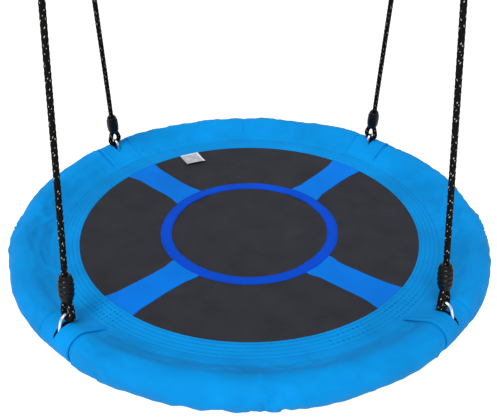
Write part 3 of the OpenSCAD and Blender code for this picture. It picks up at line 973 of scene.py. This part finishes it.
def make_label():
    """A blank folded label under the band's inner edge, its free end a little raised."""
    low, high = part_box("label_tag")
    middle = (low + high) / 2
    azimuth = math.atan2(middle.y, middle.x)
    width, length = 48 * MM, 53 * MM
    across, along = np.meshgrid(np.linspace(0, width, 17), np.linspace(0, length, 21), indexing="ij")
    free = along / length
    x, y = BAND_IN_R + 0.5 * MM - along, across - width / 2
    turn = turn_z(azimuth)
    points = np.stack([x, y, 0 * x], -1) @ turn.T
    curl = 5 * MM * free**2 + 1.5 * MM * free * np.sin(2.4 * across / width)
    points[..., 2] = floor_z(points[..., 0], points[..., 1]) + 0.5 * MM + curl
    label = grid_piece("blank_label", points, across[:, 0], along[0])
    apply_modifier(label, "SOLIDIFY", thickness=0.8 * MM, offset=-1)
    finish_piece(label, label_look, "seat", ["label_tag"])


# ---- Sewing ----

def row_dashes(radius, step, length):
    """Dashes along a circle, as pairs of points in plan."""
    count = int(2 * math.pi * radius / step)
    start = np.arange(count) * 2 * math.pi / count
    half = length / 2 / radius
    ends = [np.stack([radius * np.cos(a), radius * np.sin(a)], 1) for a in (start - half, start + half)]
    return np.stack(ends, 1)


def line_dashes(turn, y, x_from, x_to, step, length):
    """Dashes along a straight line at y from x_from to x_to, turned in plan."""
    starts = np.arange(x_from, x_to - length, step)
    ends = [np.stack([starts + d, np.full(len(starts), y)], 1) for d in (0, length)]
    return np.stack([e @ turn[:2, :2].T for e in ends], 1)


def sew(name, dashes, grounds):
    """Small pointed stitches that lie on the pieces below them."""
    graph = bpy.context.evaluated_depsgraph_get()
    trees = [BVHTree.FromObject(g, graph) for g in grounds]
    width, height, sunk = 0.75 * MM, 0.55 * MM, 0.35 * MM
    points, faces = [], []
    for dash in dashes:
        ends = []
        for x, y in dash:
            hits = [t.ray_cast(Vector((x, y, SEAT_Z + 0.1)), Vector((0, 0, -1)))[0] for t in trees]
            hits = [h for h in hits if h is not None]
            if hits:
                ends.append(max(hits, key=lambda h: h.z))
        if len(ends) < 2:
            continue
        start, end = ends
        way = (end - start).normalized()
        side = way.cross(Vector((0, 0, 1))).normalized()
        up = side.cross(way)
        mid = (start + end) / 2
        base = len(points)
        ring = [mid + side * width, mid + up * height, mid - side * width, mid - up * sunk]
        points += [start - up * sunk / 2, end - up * sunk / 2, *ring]
        for k in range(4):
            a, b = base + 2 + k, base + 2 + (k + 1) % 4
            faces += [(base, b, a), (base + 1, a, b)]
    mesh = bpy.data.meshes.new(name)
    mesh.from_pydata([tuple(p) for p in points], [], faces)
    mesh.uv_layers.new(name="UVMap")
    mesh.polygons.foreach_set("use_smooth", [True] * len(mesh.polygons))
    piece = bpy.data.objects.new(name, mesh)
    bpy.context.scene.collection.objects.link(piece)
    flat_uv(piece)
    return finish_piece(piece, thread_look, "seat")


def sew_band(cover):
    """Rows round the band, a stitched box over each strap and one more on the front band."""
    step, length = 5.6 * MM, 4.2 * MM
    start = BAND_IN_R + 5 * MM
    dashes = [row_dashes(radius, step, length) for radius in STITCH_ROWS]
    for corner in CORNERS:
        turn = corner_turn(corner)
        for y in np.concatenate([-CROSS_ROWS[:0:-1], CROSS_ROWS]):
            dashes.append(line_dashes(turn, y, start, BAND_IN_R + 46 * MM, step, length))
    patch_angle = math.radians(-65)
    patch = turn_z(patch_angle)
    for y in np.linspace(-42, 42, 9) * MM:
        dashes.append(line_dashes(patch, y, start, BAND_IN_R + 42 * MM, step, length))
    return sew("band_stitching", np.concatenate(dashes), [cover])


def sew_trim(trim):
    edges = (TRIM_R - 3 * MM, TRIM_R - TRIM_W + 3 * MM)
    dashes = [row_dashes(radius, 4.4 * MM, 3.2 * MM) for radius in edges]
    return sew("trim_stitching", np.concatenate(dashes), [trim])


# ---- Inside the cover ----

def make_foam(name, middle_a):
    """A length of foam tube round the steel tube, its surface a little uneven."""
    count, sides = 120, 28
    half = CORNER_A - math.radians(1.15)
    turns = middle_a + np.linspace(-half, half, count)
    from_end = (half - np.abs(turns - middle_a)) * PITCH_R
    squeezed = 3 * MM * (1 - smooth(from_end / (75 * MM)))
    outside, bore = PAD_R - 2.4 * MM - squeezed, np.full(count, TUBE_R + 0.4 * MM)
    loop, loop_r = np.concatenate([turns, turns[::-1]]), np.concatenate([outside, bore])
    angle, a = np.meshgrid(loop, np.linspace(0, 2 * math.pi, sides, endpoint=False), indexing="ij")
    uneven = np.abs(0.5 * MM * ripple(angle * 30, np.sin(a) * 2, 2.6))
    section_r = loop_r[:, None] - np.where(loop_r[:, None] > TUBE_R + MM, uneven, 0)
    r, z = PITCH_R + section_r * np.cos(a), section_r * np.sin(a)
    points = np.stack([r * np.cos(angle), r * np.sin(angle), SEAT_Z + z], -1)
    us = PITCH_R * np.linspace(0, 4 * half, 2 * count + 1)
    vs = PAD_R * np.linspace(0, 2 * math.pi, sides + 1)
    foam = grid_piece(name + "_tube", points, us, vs, close_u=True, close_v=True)
    finish_piece(foam, foam_look, "seat", [name])


def dress_cad_nodes():
    looks = {
        "tube_bolts": zinc_steel, "tube_nuts": zinc_steel, "tube_": tube_steel,
        "ring_": bright_steel, "hook_": zinc_steel, "gate_": zinc_steel,
    }
    for name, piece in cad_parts.items():
        look = next((looks[key] for key in looks if name.startswith(key)), None)
        if look:
            piece.data.materials.clear()
            piece.data.materials.append(look)
            piece.data.polygons.foreach_set("use_smooth", [True] * len(piece.data.polygons))


# ---- Floor and light ----

def make_studio():
    scene = bpy.context.scene
    scene.view_settings.view_transform = "Standard"
    floor_mesh = bpy.data.meshes.new("studio_floor")
    reach, below = 150, SEAT_Z - 4
    corners = ((-1, -1), (1, -1), (1, 1), (-1, 1))
    points = [(x * reach, y * reach, below) for x, y in corners]
    floor_mesh.from_pydata(points, [], [(0, 1, 2, 3)])
    floor = bpy.data.objects.new("studio_floor", floor_mesh)
    scene.collection.objects.link(floor)
    material, _, _ = new_material("studio_floor", (0.97, 0.97, 0.97), 0.9)
    floor_mesh.materials.append(material)
    world = bpy.data.worlds.new("studio")
    world.use_nodes = True
    background = world.node_tree.nodes["Background"]
    background.inputs["Color"].default_value = (1, 1, 1, 1)
    background.inputs["Strength"].default_value = 0.62
    scene.world = world
    data = bpy.data.lights.new("key", "SUN")
    data.energy, data.angle = 2.5, math.radians(24)
    lamp = bpy.data.objects.new("key", data)
    lamp.rotation_euler = Vector((0.25, 0.68, -1.0)).to_track_quat("-Z", "Y").to_euler()
    scene.collection.objects.link(lamp)


make_camera()
make_hangers()
cover = make_cover()
make_floor()
trim = make_trim()
for corner in CORNERS:
    make_floor_strap(corner)
    make_wrap(corner)
make_label()
sew_band(cover)
sew_trim(trim)
for part, middle in (("foam_right", 0), ("foam_back", 90), ("foam_left", 180), ("foam_front", 270)):
    make_foam(part, math.radians(middle))
dress_cad_nodes()
make_studio()
